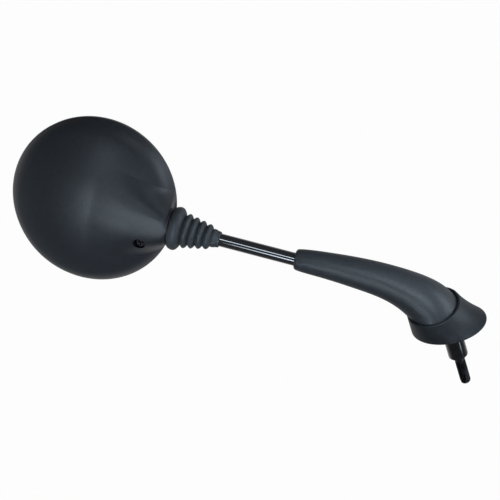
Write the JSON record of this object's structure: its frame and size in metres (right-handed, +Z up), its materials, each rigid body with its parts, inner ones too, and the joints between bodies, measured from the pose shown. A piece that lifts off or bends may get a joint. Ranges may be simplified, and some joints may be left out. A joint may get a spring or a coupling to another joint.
{
  "type": "motorcycle mirror",
  "caption": "Round convex rear-view mirror in a domed back, on a clamped ball joint with a bellows boot, a leaning stem with a flared cover, and a threaded stud.",
  "frame": {"origin": "root of the threaded stud, on its axis, where the foot's collar ends", "axes": "+Z up the stud's axis, the stem leans out towards -X, and the mirror glass faces +Y (to the rear)"},
  "size_m": [0.3486, 0.0663, 0.2575],
  "materials": {
    "black_steel": "gloss black coated steel",
    "gloss_black": "gloss black enamel",
    "bright_steel": "turned steel",
    "cover_plastic": "matt black grained plastic",
    "boot_rubber": "matt black rubber",
    "liner_plastic": "natural nylon",
    "head_plastic": "matt slate black grained plastic",
    "plated_steel": "zinc plated steel",
    "mirror_glass": "silvered convex glass",
    "pad_foam": "dark foam"
  },
  "bodies": {
    "arm": {"stem_foot": "black_steel", "stem_rod": "gloss_black", "pivot_ball": "bright_steel", "arm_cover": "cover_plastic", "base_skirt": "cover_plastic"},
    "boot": {"bellows_boot": "boot_rubber"},
    "cup": {"ball_liner_rear": "liner_plastic", "ball_liner_front": "liner_plastic"},
    "head": {"head_housing": "head_plastic", "clamp_plate": "plated_steel", "clamp_screw": "plated_steel", "spring_washer": "plated_steel", "clamp_nut": "plated_steel", "plate_screw": "plated_steel", "mirror_glass": "mirror_glass", "glass_pad": "pad_foam", "bezel_ring": "head_plastic"}
  },
  "joints": [
    {"name": "boot_turn", "type": "hinge", "parent": "arm", "child": "boot", "pos_m": [-0.20441, 0, 0.15212], "axis": [0.9085, 0, -0.4179], "range_deg": [-90, 90]},
    {"name": "head_tilt", "type": "hinge", "parent": "boot", "child": "cup", "pos_m": [-0.20441, 0, 0.15212], "axis": [0.3951, 0.3256, 0.859], "range_deg": [-15, 15], "deforming": ["bellows_boot"]},
    {"name": "head_turn", "type": "hinge", "parent": "cup", "child": "head", "pos_m": [-0.20441, 0, 0.15212], "axis": [0.9085, 0, -0.4179], "continuous": true}
  ]
}
